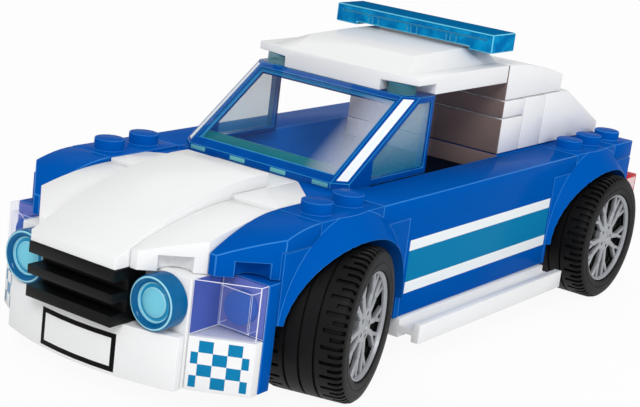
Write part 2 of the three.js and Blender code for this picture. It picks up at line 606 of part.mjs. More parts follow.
// Rear of the cabin
const REAR_END = AXLE_Y;
const REAR_BRICK_TOP = DECK_Z + 2 * PLATE;
const BOW_BOTTOM = REAR_BRICK_TOP + PLATE;
const rearBricks = ['front', 'middle', 'back'];
const REAR_STEP = (REAR_END - ROOF_END) / rearBricks.length;
rearBricks.forEach((name, i) => {
  const y0 = ROOF_END + i * REAR_STEP;
  place(`rear_brick_${name}`, box(-CABIN, CABIN, y0, y0 + REAR_STEP, DECK_Z, REAR_BRICK_TOP), WHITE);
});
place('rear_plate', box(-CABIN, CABIN, ROOF_END, REAR_END, REAR_BRICK_TOP, BOW_BOTTOM), WHITE);

const bowShape = new THREE.Shape();
bowShape.moveTo(ROOF_END, BOW_BOTTOM);
bowShape.lineTo(REAR_END, BOW_BOTTOM);
bowShape.lineTo(REAR_END, ROOF_TOP - BOW_DROP);
bowShape.quadraticCurveTo((ROOF_END + REAR_END) / 2, ROOF_TOP, ROOF_END, ROOF_TOP);
const bowPlan = [
  [-CABIN, ROOF_END], [CABIN, ROOF_END], [CABIN, REAR_END - BOW_CORNER], [CABIN - BOW_CORNER, REAR_END],
  [-CABIN + BOW_CORNER, REAR_END], [-CABIN, REAR_END - BOW_CORNER],
];
place('rear_roof_bow', join(
  prism('x', bowShape, -CABIN, CABIN).intersect(prism('z', bowPlan, BOW_BOTTOM - PITCH, ROOF_TOP + PITCH)),
  box(-CABIN + WALL, CABIN - WALL, ROOF_END - PITCH / 2, ROOF_END + BITE, ROOF_Z - WALL, ROOF_Z),
), WHITE);

place('rear_slope', prism('x', [
  [REAR_END, DECK_Z], [FENDER_END, DECK_Z], [FENDER_END, DECK_Z + SLOPE_LIP], [REAR_END + SLOPE_LEDGE, BOW_BOTTOM],
  [REAR_END, BOW_BOTTOM],
], -CABIN, CABIN), WHITE);

// Tail
place('tail_block', join(
  box(-CABIN, CABIN, ROOF_END, FENDER_END, SHOULDER_Z, DECK_Z),
  box(-CABIN, CABIN, FENDER_END - PITCH / 2, FENDER_END, BODY_Z, SHOULDER_Z + BITE),
), BLUE);
place('rear_bumper', box(-HALF, HALF, FENDER_END, FENDER_END + BUMPER_DEPTH, NOSE_BOTTOM, NOSE_MID), WHITE);
placePair('rear_lamp', cut(
  box(CABIN, HALF, FENDER_END, TAIL_Y, NOSE_MID, NOSE_TOP),
  box(CABIN + LAMP_RIM, HALF - LAMP_RIM, TAIL_Y - LAMP_RIM, TAIL_Y + BITE, NOSE_MID + LAMP_RIM, NOSE_TOP - LAMP_RIM),
), CLEAR_RED);

export default group;
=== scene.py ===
"""Building block car with steered front wheels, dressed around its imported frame."""

import json
import math
import bpy
from mathutils import Matrix, Vector

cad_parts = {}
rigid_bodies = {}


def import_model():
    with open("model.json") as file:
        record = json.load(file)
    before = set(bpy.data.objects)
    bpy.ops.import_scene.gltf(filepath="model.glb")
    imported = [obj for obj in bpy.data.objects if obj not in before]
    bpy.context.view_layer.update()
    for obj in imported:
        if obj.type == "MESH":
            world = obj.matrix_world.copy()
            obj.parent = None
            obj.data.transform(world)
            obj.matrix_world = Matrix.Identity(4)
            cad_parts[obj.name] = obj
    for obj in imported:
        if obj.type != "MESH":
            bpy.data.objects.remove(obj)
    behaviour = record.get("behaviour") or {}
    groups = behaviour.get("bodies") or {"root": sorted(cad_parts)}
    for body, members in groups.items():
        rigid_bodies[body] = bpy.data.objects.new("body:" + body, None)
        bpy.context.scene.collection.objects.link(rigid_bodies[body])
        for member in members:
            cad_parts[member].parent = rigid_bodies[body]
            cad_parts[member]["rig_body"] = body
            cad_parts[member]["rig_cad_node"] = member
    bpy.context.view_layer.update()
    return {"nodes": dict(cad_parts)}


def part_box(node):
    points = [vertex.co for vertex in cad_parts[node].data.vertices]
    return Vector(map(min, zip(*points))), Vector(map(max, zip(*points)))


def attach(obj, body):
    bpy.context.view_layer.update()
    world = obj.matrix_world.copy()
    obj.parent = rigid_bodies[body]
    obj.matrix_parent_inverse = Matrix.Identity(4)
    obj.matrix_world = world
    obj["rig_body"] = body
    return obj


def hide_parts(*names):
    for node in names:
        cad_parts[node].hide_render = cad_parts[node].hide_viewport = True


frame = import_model()
MM = 0.001

# Sizes shared by several pieces, in millimetres in the row frame
SIDES = (("left", 1), ("right", -1))
STUD = 8
STUD_RADIUS = 2.4
STUD_HEIGHT = 1.7
PLATE = 3.2
SHIFT_Y = 5.6

# Wheels and steering
AXLE_Y = 40
AXLE_Z = 11.6
WHEEL_X = 22.9
TYRE_HALF = 6.5
STEER_REST = math.radians(15)
KING_INSET = 0.8
KING_X = WHEEL_X - KING_INSET
KING_Y = -AXLE_Y - (TYRE_HALF + KING_INSET) * math.sin(STEER_REST) + SHIFT_Y

# Moulded edges, and the seams between blocks
EDGE = 0.14
EDGE_SEGMENTS = 2
EDGE_ANGLE = math.radians(28)
SMOOTH_ANGLE = math.radians(32)
TURNED_ANGLE = math.radians(30)
FINE_SEAM = 0.08
WIDE_SEAM = 0.13

# How near to one a face's normal comes along the axis it looks towards
FACING = 0.9
UP = Vector((0, 0, 1))
BACK = Vector((0, 1, 0))
FRONT = Vector((0, -1, 0))

# Camera of the photograph
EYE = Vector((138.7, -221.19 + SHIFT_Y, 84.74)) * MM
LENS = 87.43
AZIMUTH = math.radians(33.7)
ELEVATION = math.radians(14.8)
ROLL = math.radians(7.12)


# Selection and edit mode

def only(piece):
    bpy.ops.object.select_all(action="DESELECT")
    piece.select_set(True)
    bpy.context.view_layer.objects.active = piece
    return piece


def edit(piece, mode="FACE"):
    only(piece)
    bpy.ops.object.mode_set(mode="EDIT")
    bpy.ops.mesh.select_mode(type=mode)
    bpy.ops.mesh.select_all(action="DESELECT")


def done():
    bpy.ops.object.mode_set(mode="OBJECT")


def choose_faces(piece, test):
    """Selects the faces whose centre and normal pass the test; edit mode stays on."""
    bpy.ops.object.mode_set(mode="OBJECT")
    for face in piece.data.polygons:
        face.select = bool(test(face.center / MM, face.normal))
    bpy.ops.object.mode_set(mode="EDIT")


def settle(piece):
    """Puts the piece's place into its mesh."""
    only(piece)
    bpy.ops.object.transform_apply(location=True, rotation=True, scale=True)
    return piece


# Places of the CAD nodes

def span(node):
    """The low and the high corner of a node's box, in millimetres."""
    low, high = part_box(node)
    return low / MM, high / MM


def middle(node):
    low, high = span(node)
    return (low + high) / 2


def mirrored(sign, near, far):
    """Two distances from the middle plane as a rising pair of X values on one side of the car."""
    return sorted((sign * near, sign * far))


# Shapes

def twin(source):
    """A second object with a mesh of its own."""
    only(source)
    bpy.ops.object.duplicate()
    return bpy.context.view_layer.objects.active


def merge_flats(piece):
    """Merges the triangles of each flat face."""
    edit(piece)
    bpy.ops.mesh.select_all(action="SELECT")
    bpy.ops.mesh.remove_doubles(threshold=0.002 * MM)
    bpy.ops.mesh.dissolve_limited(angle_limit=math.radians(0.5))
    done()
    return piece


def copy_of(node, name):
    """A working copy of a CAD node."""
    piece = twin(frame["nodes"][node])
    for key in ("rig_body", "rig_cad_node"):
        if key in piece:
            del piece[key]
    piece.parent = None
    piece.matrix_world = Matrix.Identity(4)
    piece.name = name
    piece.data.name = name
    return merge_flats(piece)


def box(name, x0, x1, y0, y1, z0, z1):
    bpy.ops.object.select_all(action="DESELECT")
    centre = Vector((x0 + x1, y0 + y1, z0 + z1)) * (MM / 2)
    bpy.ops.mesh.primitive_cube_add(size=1, location=centre)
    piece = bpy.context.view_layer.objects.active
    piece.name = name
    piece.scale = Vector((x1 - x0, y1 - y0, z1 - z0)) * MM
    return settle(piece)


def tube(name, radius, depth, centre, axis="Z", vertices=32):
    bpy.ops.object.select_all(action="DESELECT")
    turn = {"X": (0, math.pi / 2, 0), "Y": (math.pi / 2, 0, 0), "Z": (0, 0, 0)}[axis]
    bpy.ops.mesh.primitive_cylinder_add(
        vertices=vertices, radius=radius * MM, depth=depth * MM,
        location=Vector(centre) * MM, rotation=turn)
    piece = bpy.context.view_layer.objects.active
    piece.name = name
    return settle(piece)


def ring(name, profile, steps):
    """A closed (u, radius) outline spun once round the X axis."""
    bpy.ops.object.select_all(action="DESELECT")
    bpy.ops.mesh.primitive_circle_add(vertices=len(profile), radius=MM, fill_type="NOTHING")
    piece = bpy.context.view_layer.objects.active
    piece.name = name
    for vertex, (u, r) in zip(piece.data.vertices, profile):
        vertex.co = Vector((u, 0, r)) * MM
    edit(piece, "VERT")
    bpy.ops.mesh.select_all(action="SELECT")
    bpy.ops.mesh.spin(steps=steps, angle=2 * math.pi, center=(0, 0, 0), axis=(1, 0, 0))
    bpy.ops.mesh.select_all(action="SELECT")
    bpy.ops.mesh.remove_doubles(threshold=0.005 * MM)
    bpy.ops.mesh.select_all(action="SELECT")
    bpy.ops.mesh.normals_make_consistent(inside=False)
    done()
    only(piece)
    bpy.ops.object.shade_smooth_by_angle(angle=TURNED_ANGLE)
    return piece


def soften(piece, width=EDGE, edge_slot=-1):
    """Rounds the hard moulded edges and shades the curves; edge_slot is the finish of the rounded edges."""
    only(piece)
    edge = piece.modifiers.new("moulded_edge", "BEVEL")
    edge.width = width * MM
    edge.segments = EDGE_SEGMENTS
    edge.limit_method = "ANGLE"
    edge.angle_limit = EDGE_ANGLE
    edge.use_clamp_overlap = True
    edge.material = edge_slot
    bpy.ops.object.modifier_apply(modifier=edge.name)
    bpy.ops.object.shade_smooth_by_angle(angle=SMOOTH_ANGLE)
    return piece


def ease(piece, gap=FINE_SEAM):
    """Draws a block in a little on every side, so that a fine seam shows between neighbours."""
    corners = [Vector(corner) for corner in piece.bound_box]
    for axis in range(3):
        low = min(corner[axis] for corner in corners)
        high = max(corner[axis] for corner in corners)
        piece.scale[axis] = 1 - 2 * gap * MM / (high - low)
        piece.location[axis] = (low + high) / 2 * (1 - piece.scale[axis])
    return settle(piece)


def carve(piece, other, operation="DIFFERENCE"):
    """Cuts another solid out of the piece, or joins it on as one solid."""
    only(piece)
    change = piece.modifiers.new("change", "BOOLEAN")
    change.operation = operation
    change.solver = "EXACT"
    change.object = other
    bpy.ops.object.modifier_apply(modifier=change.name)
    bpy.data.objects.remove(other)
    return piece


def weld(pieces, name):
    """Joins pieces into one object."""
    only(pieces[0])
    for piece in pieces[1:]:
        piece.select_set(True)
    if len(pieces) > 1:
        bpy.ops.object.join()
    pieces[0].name = name
    pieces[0].data.name = name
    return pieces[0]


# Finishes on the pieces, and their place in the frame

def paint(piece, *materials):
    piece.data.materials.clear()
    for material in materials:
        piece.data.materials.append(material)
    return piece


def mark(piece, slot, test, margin=0.0):
    """Gives the faces that pass the test another of the piece's finishes, inside a margin."""
    edit(piece)
    choose_faces(piece, test)
    if margin:
        bpy.ops.mesh.inset(thickness=margin * MM)
    piece.active_material_index = slot
    bpy.ops.object.material_slot_assign()
    done()
    return piece


def dress(piece, material, slot, body, *nodes):
    if material:
        paint(piece, material)
    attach(piece, body)
    if nodes:
        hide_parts(*nodes)
    return piece


# Materials

def linear(red, green, blue):
    out = []
    for value in (red / 255, green / 255, blue / 255):
        out.append(value / 12.92 if value <= 0.04045 else ((value + 0.055) / 1.055) ** 2.4)
    return (*out, 1.0)


class Finish:
    """A node material on Object coordinates, in millimetres."""

    def __init__(self, name):
        self.material = bpy.data.materials.new(name)
        self.material.use_nodes = True
        self.tree = self.material.node_tree
        self.shader = self.tree.nodes["Principled BSDF"]
        place = self.node("ShaderNodeTexCoord")
        scale = self.node("ShaderNodeVectorMath")
        scale.operation = "SCALE"
        scale.inputs["Scale"].default_value = 1 / MM
        self.link(place.outputs["Object"], scale.inputs[0])
        self.place = scale.outputs["Vector"]
        split = self.node("ShaderNodeSeparateXYZ")
        self.link(self.place, split.inputs[0])
        self.x = split.outputs["X"]
        self.y = split.outputs["Y"]
        self.z = split.outputs["Z"]

    def node(self, kind):
        return self.tree.nodes.new(kind)

    def link(self, start, end):
        self.tree.links.new(start, end)

    def put(self, socket, value):
        if isinstance(value, bpy.types.NodeSocket):
            self.link(value, socket)
        else:
            socket.default_value = value

    def math(self, operation, first, second=0.0):
        node = self.node("ShaderNodeMath")
        node.operation = operation
        self.put(node.inputs[0], first)
        if operation not in ("ABSOLUTE", "FLOOR"):
            self.put(node.inputs[1], second)
        return node.outputs[0]

    def between(self, value, low, high):
        above = self.math("GREATER_THAN", value, low)
        below = self.math("LESS_THAN", value, high)
        return self.math("MULTIPLY", above, below)

    def every(self, *masks):
        result = masks[0]
        for mask in masks[1:]:
            result = self.math("MULTIPLY", result, mask)
        return result

    def without(self, mask, hole):
        return self.math("MULTIPLY", mask, self.math("SUBTRACT", 1.0, hole))

    def noise(self, scale, detail=2.0, rough=0.5):
        node = self.node("ShaderNodeTexNoise")
        self.link(self.place, node.inputs["Vector"])
        node.inputs["Scale"].default_value = scale
        node.inputs["Detail"].default_value = detail
        node.inputs["Roughness"].default_value = rough
        return node.outputs["Fac"]

    def ramp(self, value, low, high, start=0.0, end=1.0):
        node = self.node("ShaderNodeMapRange")
        self.put(node.inputs["Value"], value)
        node.inputs["From Min"].default_value = start
        node.inputs["From Max"].default_value = end
        node.inputs["To Min"].default_value = low
        node.inputs["To Max"].default_value = high
        return node.outputs["Result"]

    def mix(self, factor, first, second):
        node = self.node("ShaderNodeMix")
        node.data_type = "RGBA"
        self.put(node.inputs["Factor"], factor)
        self.put(node.inputs["A"], first)
        self.put(node.inputs["B"], second)
        return node.outputs["Result"]

    def set(self, **values):
        for name, value in values.items():
            self.put(self.shader.inputs[name.replace("_", " ")], value)
        return self

    def bump(self, height, strength, distance):
        node = self.node("ShaderNodeBump")
        node.inputs["Strength"].default_value = strength
        node.inputs["Distance"].default_value = distance * MM
        self.link(height, node.inputs["Height"])
        self.link(node.outputs["Normal"], self.shader.inputs["Normal"])
        return self


def moulded(name, color, shade, rough=(0.14, 0.22), gloss=0.04):
    """Glossy moulded plastic: faint flow clouds, fine skin and slight haze."""
    finish = Finish(name)
    cloud = finish.noise(0.12, 3.0)
    finish.colour = finish.mix(finish.ramp(cloud, 0.0, 1.0), linear(*color), linear(*shade))
    finish.set(Base_Color=finish.colour, IOR=1.52, Specular_IOR_Level=gloss)
    finish.set(Roughness=finish.ramp(finish.noise(0.6, 4.0), *rough))
    finish.bump(finish.noise(1.4, 3.0), 0.12, 0.02)
    return finish


def clear(name, color, shade, solid, rough=0.04, gloss=0.08):
    """Clear coloured plastic with a faint moulding ripple; solid is how much of it hides what is behind."""
    finish = Finish(name)
    cloud = finish.noise(0.3, 2.0)
    finish.colour = finish.mix(finish.ramp(cloud, 0.0, 1.0), linear(*color), linear(*shade))
    finish.set(Base_Color=finish.colour, IOR=1.49, Specular_IOR_Level=gloss, Alpha=solid)
    finish.set(Roughness=finish.ramp(finish.noise(0.5, 2.0), rough * 0.6, rough * 1.4))
    finish.bump(finish.noise(0.25, 2.0), 0.06, 0.03)
    return finish


BLUE = ((0, 87, 177), (0, 83, 171))
BLUE_GLOSS = 0.003
WHITE = ((240, 240, 240), (235, 236, 237))
TEAL = linear(16, 124, 172)
PRINT_WHITE = linear(238, 244, 246)
INK = linear(16, 16, 18)
# Painted shade on the cabin face of the rear wall: deep brownish grey at the left, pale grey at the right
CABIN_PAINTED_DEEP_SHADE = linear(124, 106, 102)
CABIN_PAINTED_PALE_SHADE = linear(216, 212, 218)
# Painted light: the brighter blue of the doors' faces to the cabin
CABIN_PAINTED_LIGHT_BLUE = linear(8, 122, 230)
SIDE_FOOT_TEAL = linear(20, 150, 190)
# Painted light in the headlights: a paler bowl and lens, and pale rings of painted highlight
BOWL_PAINTED_LIGHT = linear(36, 150, 196)
LENS_PAINTED_LIGHT = linear(122, 208, 230)
RING_PAINTED_HIGHLIGHT = linear(158, 220, 236)

blue_plastic = moulded("blue_plastic", *BLUE, gloss=BLUE_GLOSS).material
# Painted highlight: pale blue lines on the rounded edges of the blue blocks
blue_highlight_edge = moulded("blue_highlight_edge", (46, 124, 204), (40, 116, 198)).material
white_plastic = moulded("white_plastic", *WHITE).material
black_plastic = moulded("black_plastic", (10, 11, 12), (15, 16, 17), (0.28, 0.4), 0.12).material
grey_plastic = moulded("grey_plastic", (84, 88, 92), (78, 82, 86), (0.3, 0.42)).material
# The glass's blue tint, deepened by painted shade of refraction in the frame
glass_frame = clear("glass_frame", (0, 88, 178), (0, 72, 160), 0.8, gloss=0.03).material
# Painted highlight: the cyan rounded edges of the windscreen and its pane
glass_highlight_edge = clear("glass_highlight_edge", (64, 170, 222), (40, 140, 206), 0.85).material
# Painted reflection: the near-white slanted corners of the windscreen
glass_chamfer_reflection = clear("glass_chamfer_reflection", (244, 249, 252), (234, 242, 247), 0.95).material
glass_sill = clear("glass_sill", (0, 118, 128), (0, 104, 122), 0.92).material
glass_key = clear("glass_key", (120, 196, 200), (92, 176, 186), 0.92).material
glass_stud = clear("glass_stud", (84, 140, 150), (60, 116, 130), 0.7).material
lamp_clear = clear("lamp_clear", (150, 162, 236), (138, 152, 230), 0.1, 0.03).material
lamp_back = clear("lamp_back", (132, 146, 228), (120, 134, 220), 0.6, 0.03).material
lamp_side = clear("lamp_side", (40, 82, 188), (32, 74, 180), 0.8, 0.03).material
# Painted highlight: white on the rounded edges of the corner lamps
lamp_edge = clear("lamp_edge", (248, 248, 255), (240, 240, 252), 0.9, 0.03).material
# Painted highlight: pale cyan on the rounded edges and in the cut ledge and ribs of the light bar
bar_highlight_edge = clear("bar_highlight_edge", (104, 206, 236), (88, 194, 230), 0.95, 0.06).material
lamp_red = clear("lamp_red", (206, 26, 36), (190, 18, 28), 0.9).material
lamp_pale = clear("lamp_pale", (250, 226, 226), (246, 214, 214), 0.8).material

# Where the prints, the painted shade and light, and the painted highlights lie, in millimetres
STRIPES_OUTSIDE = 23.8
STRIPES_ALONG = (-23.0 + SHIFT_Y, 23.6 + SHIFT_Y)
STRIPES_UP = (11.7, 13.55, 18.6, 20.3)
PLATE_FRONT = -66.5 + SHIFT_Y
PLATE_HALF = 7.0
PLATE_UP = (4.6, 10.2)
PLATE_LINE = 0.75
CHECK_FRONT = -59.4 + SHIFT_Y
CHECK_X = 16.55
CHECK_Z = 4.6
CHECK_WIDTH = 1.72
CHECK_HEIGHT = 1.7
CHECKS = 4
CABIN_HALF = 16.3
CABIN_BACK = 16.32 + SHIFT_Y
CABIN_PAINTED_SHADE_SPAN = (-5, 3)
# Where the painted reflection on the front pane grows
PANE_PAINTED_REFLECTION = (7, 13.5)
SIDE_FADE = (28, 37)
BAR_CAP = 0.3
BOWL_RADIUS = 2.75
LENS_RADIUS = 1.95
LENS_HIGHLIGHT_RINGS = ((1.95, 2.12), (2.6, 2.82), (3.5, 3.74))


def cabin_side_painted_light(finish):
    """The finish's colour, with painted light on the faces to the cabin: a brighter blue there."""
    inner = finish.math("LESS_THAN", finish.math("ABSOLUTE", finish.x), CABIN_HALF)
    return finish.mix(inner, finish.colour, CABIN_PAINTED_LIGHT_BLUE)


def printed_door():
    """A teal field between two white stripes on the outer face, and painted light on the faces to the cabin.
    """
    finish = moulded("door_print", *BLUE, gloss=BLUE_GLOSS)
    outer = finish.math("GREATER_THAN", finish.math("ABSOLUTE", finish.x), STRIPES_OUTSIDE)
    place = finish.every(outer, finish.between(finish.y, *STRIPES_ALONG))
    low, field_low, field_high, high = STRIPES_UP
    stripes = finish.every(place, finish.between(finish.z, low, high))
    field = finish.every(place, finish.between(finish.z, field_low, field_high))
    color = finish.mix(stripes, cabin_side_painted_light(finish), PRINT_WHITE)
    return finish.set(Base_Color=finish.mix(field, color, TEAL)).material


def printed_bumper():
    """A bare plate field in a plain dark frame."""
    finish = moulded("bumper_print", *WHITE)
    across = finish.math("ABSOLUTE", finish.x)
    front = finish.math("LESS_THAN", finish.y, PLATE_FRONT)
    fields = []
    for line in (0, PLATE_LINE):
        beside = finish.math("LESS_THAN", across, PLATE_HALF - line)
        fields.append(finish.every(beside, finish.between(finish.z, PLATE_UP[0] + line, PLATE_UP[1] - line)))
    border = finish.every(front, finish.without(*fields))
    return finish.set(Base_Color=finish.mix(border, finish.colour, INK)).material


def printed_checker():
    """Teal and white squares, the first and the last column half as wide."""
    finish = moulded("checker_print", *WHITE)
    across = finish.math("SUBTRACT", finish.math("ABSOLUTE", finish.x), CHECK_X)
    upward = finish.math("SUBTRACT", finish.z, CHECK_Z)
    column = finish.math("FLOOR", finish.math("ADD", finish.math("DIVIDE", across, CHECK_WIDTH), 0.5))
    row = finish.math("FLOOR", finish.math("DIVIDE", upward, CHECK_HEIGHT))
    parity = finish.math("FLOORED_MODULO", finish.math("ADD", column, row), 2.0)
    beside = finish.between(across, 0.0, CHECKS * CHECK_WIDTH)
    inside = finish.every(beside, finish.between(upward, 0.0, CHECKS * CHECK_HEIGHT))
    front = finish.math("LESS_THAN", finish.y, CHECK_FRONT)
    mask = finish.every(inside, front, finish.math("LESS_THAN", parity, 0.5))
    return finish.set(Base_Color=finish.mix(mask, finish.colour, TEAL)).material


def tyre_rubber():
    """Matt black with a little dust."""
    finish = Finish("tyre_rubber")
    dust = finish.ramp(finish.noise(0.5, 4.0), 0.0, 1.0)
    finish.set(Base_Color=finish.mix(dust, linear(9, 9, 10), linear(18, 18, 19)))
    finish.set(Roughness=finish.ramp(finish.noise(1.2, 3.0), 0.45, 0.62), Specular_IOR_Level=0.15)
    return finish.bump(finish.noise(3.0, 3.0), 0.2, 0.03).material


def rim_silver():
    """Satin silver-grey plastic."""
    finish = Finish("rim_silver")
    cloud = finish.ramp(finish.noise(0.4, 3.0), 0.0, 1.0)
    finish.set(Base_Color=finish.mix(cloud, linear(150, 153, 158), linear(166, 169, 173)))
    finish.set(Roughness=finish.ramp(finish.noise(2.0, 3.0), 0.28, 0.4), Metallic=0.35)
    return finish.bump(finish.noise(4.0, 2.0), 0.1, 0.02).material


def cabin_wall_painted_shade(name, color, gloss=0.04):
    """Plain outside; on the face to the cabin a painted shade, deep brownish grey towards the left and pale
    grey towards the right.
    """
    finish = moulded(name, *color, gloss=gloss)
    inner = finish.math("LESS_THAN", finish.y, CABIN_BACK)
    shade = finish.mix(finish.ramp(finish.x, 0.0, 1.0, *CABIN_PAINTED_SHADE_SPAN), CABIN_PAINTED_PALE_SHADE, CABIN_PAINTED_DEEP_SHADE)
    return finish.set(Base_Color=finish.mix(inner, finish.colour, shade)).material


def painted_reflection_pane():
    """Almost clear, with a painted pale reflection that grows towards the left."""
    finish = clear("glass_pane", (216, 224, 242), (206, 216, 238), 0.05, 0.02)
    return finish.set(Alpha=finish.ramp(finish.x, 0.01, 0.42, *PANE_PAINTED_REFLECTION)).material


def side_glass():
    """Pale at its top and deep teal at its foot."""
    finish = clear("side_glass", (186, 212, 228), (178, 206, 224), 0.36)
    foot = finish.ramp(finish.z, 1.0, 0.0, *SIDE_FADE)
    return finish.set(Base_Color=finish.mix(foot, finish.colour, SIDE_FOOT_TEAL)).material


def bar_glass_painted_light(top):
    """Deep teal on top, with painted light on the ribbed sides: brighter there, in patches."""
    finish = clear("bar_lens", (0, 104, 158), (0, 96, 150), 0.95, 0.06, 0.0)
    painted_glints = finish.ramp(finish.noise(0.35, 2.0), 0.0, 1.0, 0.42, 0.62)
    painted_light_sides = finish.mix(painted_glints, linear(0, 112, 176), linear(10, 148, 204))
    lower = finish.math("LESS_THAN", finish.z, top - BAR_CAP)
    return finish.set(Base_Color=finish.mix(lower, finish.colour, painted_light_sides)).material


def headlight_painted_light(axis):
    """Clear blue with painted light on its front about the axis: a paler bowl and lens, and fine pale rings
    of painted highlight, in both headlights.
    """
    finish = clear("headlight_painted_light", (8, 104, 158), (4, 92, 146), 0.94, 0.04, 0.15)
    across = finish.math("SUBTRACT", finish.math("ABSOLUTE", finish.x), abs(axis.x))
    upward = finish.math("SUBTRACT", finish.z, axis.z)
    squares = [finish.math("MULTIPLY", value, value) for value in (across, upward)]
    reach = finish.math("POWER", finish.math("ADD", *squares), 0.5)
    front = finish.math("LESS_THAN", finish.y, axis.y)
    bands = [(0, BOWL_RADIUS, BOWL_PAINTED_LIGHT), (0, LENS_RADIUS, LENS_PAINTED_LIGHT)]
    bands += [(low, high, RING_PAINTED_HIGHLIGHT) for low, high in LENS_HIGHLIGHT_RINGS]
    color = finish.colour
    for low, high, shade in bands:
        color = finish.mix(finish.every(front, finish.between(reach, low, high)), color, shade)
    return finish.set(Base_Color=color).material


# Walls with painted shade on their face to the cabin
rear_wall_painted_shade = cabin_wall_painted_shade("cabin_wall_painted_shade", WHITE)
tail_wall_painted_shade = cabin_wall_painted_shade("tail_wall_painted_shade", BLUE, BLUE_GLOSS)
glass_pane = painted_reflection_pane()
glass_side = side_glass()
# The light bar's lens carries painted light on its sides
bar_lens = bar_glass_painted_light(span("light_bar")[1].z)
door_print = printed_door()
bumper_print = printed_bumper()
checker_print = printed_checker()
rubber = tyre_rubber()
silver = rim_silver()
lens_painted_light = headlight_painted_light(middle("headlight_left"))


# Body blocks: copies of the CAD solids with moulded edges

def block(node, material, slot, edge=None, gap=FINE_SEAM):
    """A copy of a CAD solid with a seam round it and moulded edges; edge is their own finish, a painted
    highlight where it is given.
    """
    piece = paint(ease(copy_of(node, node + "_block"), gap), material)
    if edge:
        piece.data.materials.append(edge)
    dress(soften(piece, edge_slot=1 if edge else -1), None, slot, "body", node)


for side, _ in SIDES:
    panel = copy_of("door_" + side, "side_panel_" + side)
    carve(panel, copy_of("shoulder_tile_" + side, "strip"), "UNION")
    # The rounded edges take a painted highlight
    panel = paint(ease(merge_flats(panel)), door_print, blue_highlight_edge)
    dress(soften(panel, edge_slot=1), None, "blue_plastic", "body", "door_" + side, "shoulder_tile_" + side)
    block("sill_" + side, white_plastic, "white_plastic")
    block("front_fender_" + side, blue_plastic, "blue_plastic", blue_highlight_edge)
    block("rear_fender_" + side, blue_plastic, "blue_plastic", blue_highlight_edge)
    block("rear_corner_plate_" + side, blue_plastic, "blue_plastic", blue_highlight_edge)
    block("hood_flank_blue_" + side, blue_plastic, "blue_plastic", blue_highlight_edge)
    block("hood_flank_white_" + side, white_plastic, "white_plastic")
    block("hood_side_tile_" + side, white_plastic, "white_plastic")
    block("corner_bracket_" + side, blue_plastic, "blue_plastic", blue_highlight_edge)
    block("checker_tile_" + side, checker_print, "white_plastic")
for node in ("hood_panel", "nose_block", "roof_panel", "rear_bumper"):
    block(node, white_plastic, "white_plastic")
block("rear_brick_front", rear_wall_painted_shade, "white_plastic", gap=WIDE_SEAM)
block("scuttle_plate", white_plastic, "white_plastic")
block("firewall", blue_plastic, "blue_plastic")
block("tail_block", tail_wall_painted_shade, "blue_plastic")
for node in ("chassis_plate", "front_axle_block", "rear_axle_block"):
    block(node, grey_plastic, "grey_plastic")
block("front_bumper", bumper_print, "white_plastic")
for side, _ in SIDES:
    knuckle = soften(copy_of("steering_knuckle_" + side, "knuckle_fork_" + side), width=0.08)
    dress(knuckle, grey_plastic, "grey_plastic", "knuckle_" + side, "steering_knuckle_" + side)
    pin = soften(copy_of("kingpin_" + side, "king_pin_" + side), width=0.1)
    dress(pin, silver, "silver_plastic", "knuckle_" + side, "kingpin_" + side)


# Rear stack: the outside of the solids, with the seams where the photograph has them
BOW_TONGUE = (-20, 20, 10 + SHIFT_Y, 16 + SHIFT_Y, 34, 45)


def stretched(node, name, outward, length):
    """A copy of a node with the end that looks outward moved by a length, which may be negative."""
    piece = copy_of(node, name)
    edit(piece)
    choose_faces(piece, lambda centre, normal: normal.dot(outward) > FACING)
    bpy.ops.transform.translate(value=outward * length * MM)
    done()
    return soften(ease(piece, WIDE_SEAM))


plate = stretched("rear_plate", "rear_plate_block", BACK, -2 * STUD)
dress(plate, rear_wall_painted_shade, "white_plastic", "body", "rear_plate")
tall = stretched("rear_brick_middle", "rear_brick_block", UP, PLATE)
dress(tall, white_plastic, "white_plastic", "body", "rear_brick_middle")
slope = stretched("rear_slope", "rear_slope_block", FRONT, STUD)
dress(slope, white_plastic, "white_plastic", "body", "rear_slope", "rear_brick_back")
bow = copy_of("rear_roof_bow", "rear_roof_bow_block")
carve(bow, box("tongue", *BOW_TONGUE))
dress(soften(ease(bow, WIDE_SEAM)), rear_wall_painted_shade, "white_plastic", "body", "rear_roof_bow")


# Rear lamps: clear red with pale sides
INLAY_MARGIN = 0.5
REAR_LAMP_SIDE = 23


def lamp_outside(centre, normal):
    """True on the outer side of a rear lamp."""
    return abs(normal.x) > FACING and abs(centre.x) > REAR_LAMP_SIDE


for side, _ in SIDES:
    lamp = paint(ease(copy_of("rear_lamp_" + side, "rear_lamp_block_" + side)), lamp_red, lamp_pale)
    mark(lamp, 1, lamp_outside, INLAY_MARGIN)
    dress(soften(lamp), None, "clear_red_plastic", "body", "rear_lamp_" + side)


# Windscreen: a frame whose deep blue is partly the glass's own tint and partly painted shade of refraction
# at its thick edges, with clear panes, a sill behind the pane and pale blocks in its foot
SCREEN_FOOT = Vector((0, -32 + SHIFT_Y, 28.2))
SCREEN_HEAD = Vector((0, -14.8 + SHIFT_Y, 40))
SCREEN_RUN = SCREEN_HEAD - SCREEN_FOOT
SCREEN_TILT = math.atan2(SCREEN_RUN.z, SCREEN_RUN.y)
PANE_HALF = 13.5
PANE_START = 1.7
PANE_END = SCREEN_RUN.length - 1.0
PANE_DEPTHS = (0.2, 0.8)
FIT = 0.04
SILL_FIT = 0.1
SILL_END = 4.4
SILL_DEPTHS = (0.9, 1.5)
SIDE_ALONG = (-24 + SHIFT_Y, -8.8 + SHIFT_Y)
SIDE_UP = (28.2, 39)
SIDE_STEP = 2.1
SIDE_FRAME = 0.8
SIDE_OPENING = (13, 17)
SIDE_PANE = (14.9, 15.7)
KEY_PLACES = (-12, -4, 4, 12)
